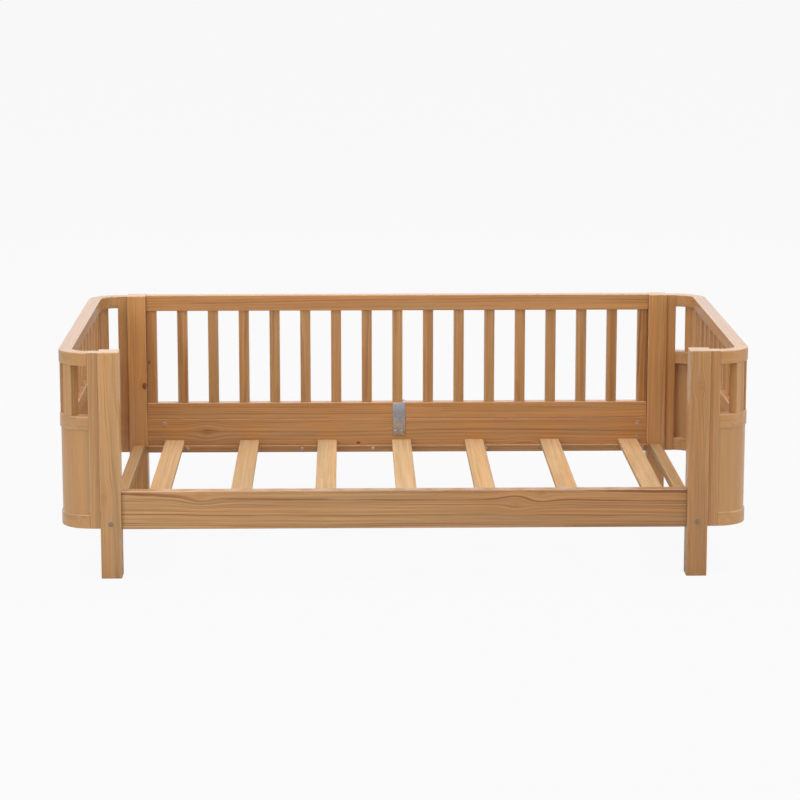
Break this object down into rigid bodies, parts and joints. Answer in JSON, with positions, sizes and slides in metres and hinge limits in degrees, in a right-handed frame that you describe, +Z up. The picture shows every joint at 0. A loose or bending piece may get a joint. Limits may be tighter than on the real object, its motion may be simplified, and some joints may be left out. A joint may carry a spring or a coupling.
{
  "type": "junior bed",
  "caption": "Low pine junior bed: slatted base on square posts, rounded end units with open staves over closed panels, and a balustered back guard held by a steel bracket.",
  "frame": {"origin": "on the floor under the middle of the bed", "axes": "+X along the length towards the right end as seen from the open side, +Y towards the back guard, +Z up"},
  "size_m": [1.568, 0.903, 0.522],
  "materials": {
    "pine_posts": "natural oil, satin, straight upright grain",
    "pine_rails": "natural oil, satin, lengthwise grain with knots",
    "pine_slats": "planed, barely oiled",
    "pine_ends": "natural oil, satin, glued segments",
    "pine_guard": "natural oil, satin",
    "beech_dowel": "plain",
    "zinc_steel": "zinc plated"
  },
  "bodies": {
    "root": {"front_left_post": "pine_posts", "front_right_post": "pine_posts", "back_left_post": "pine_posts", "back_right_post": "pine_posts", "front_rail": "pine_rails", "back_rail": "pine_rails", "front_ledger": "pine_rails", "back_ledger": "pine_rails", "left_batten": "pine_slats", "right_batten": "pine_slats", "slat_1": "pine_slats", "slat_2": "pine_slats", "slat_3": "pine_slats", "slat_4": "pine_slats", "slat_5": "pine_slats", "slat_6": "pine_slats", "slat_7": "pine_slats", "guard_top_rail": "pine_guard", "guard_bottom_rail": "pine_guard", "guard_stiles": "pine_guard", "guard_balusters": "pine_guard", "guard_dowels": "beech_dowel", "guard_bracket": "zinc_steel", "left_front_stile": "pine_ends", "left_back_stile": "pine_ends", "left_top_rail": "pine_ends", "left_front_top_corner": "pine_ends", "left_back_top_corner": "pine_ends", "left_mid_rail": "pine_ends", "left_front_mid_corner": "pine_ends", "left_back_mid_corner": "pine_ends", "left_low_rail": "pine_ends", "left_front_low_corner": "pine_ends", "left_back_low_corner": "pine_ends", "left_side_staves": "pine_ends", "left_corner_staves": "pine_ends", "left_side_panel": "pine_ends", "left_corner_panels": "pine_ends", "right_front_stile": "pine_ends", "right_back_stile": "pine_ends", "right_top_rail": "pine_ends", "right_front_top_corner": "pine_ends", "right_back_top_corner": "pine_ends", "right_mid_rail": "pine_ends", "right_front_mid_corner": "pine_ends", "right_back_mid_corner": "pine_ends", "right_low_rail": "pine_ends", "right_front_low_corner": "pine_ends", "right_back_low_corner": "pine_ends", "right_side_staves": "pine_ends", "right_corner_staves": "pine_ends", "right_side_panel": "pine_ends", "right_corner_panels": "pine_ends", "joint_pins": "zinc_steel", "lock_barrels": "zinc_steel", "batten_bolts": "zinc_steel", "batten_nuts": "zinc_steel", "ledger_screws": "zinc_steel", "slat_screws": "zinc_steel", "bracket_screws": "zinc_steel"}
  },
  "joints": []
}
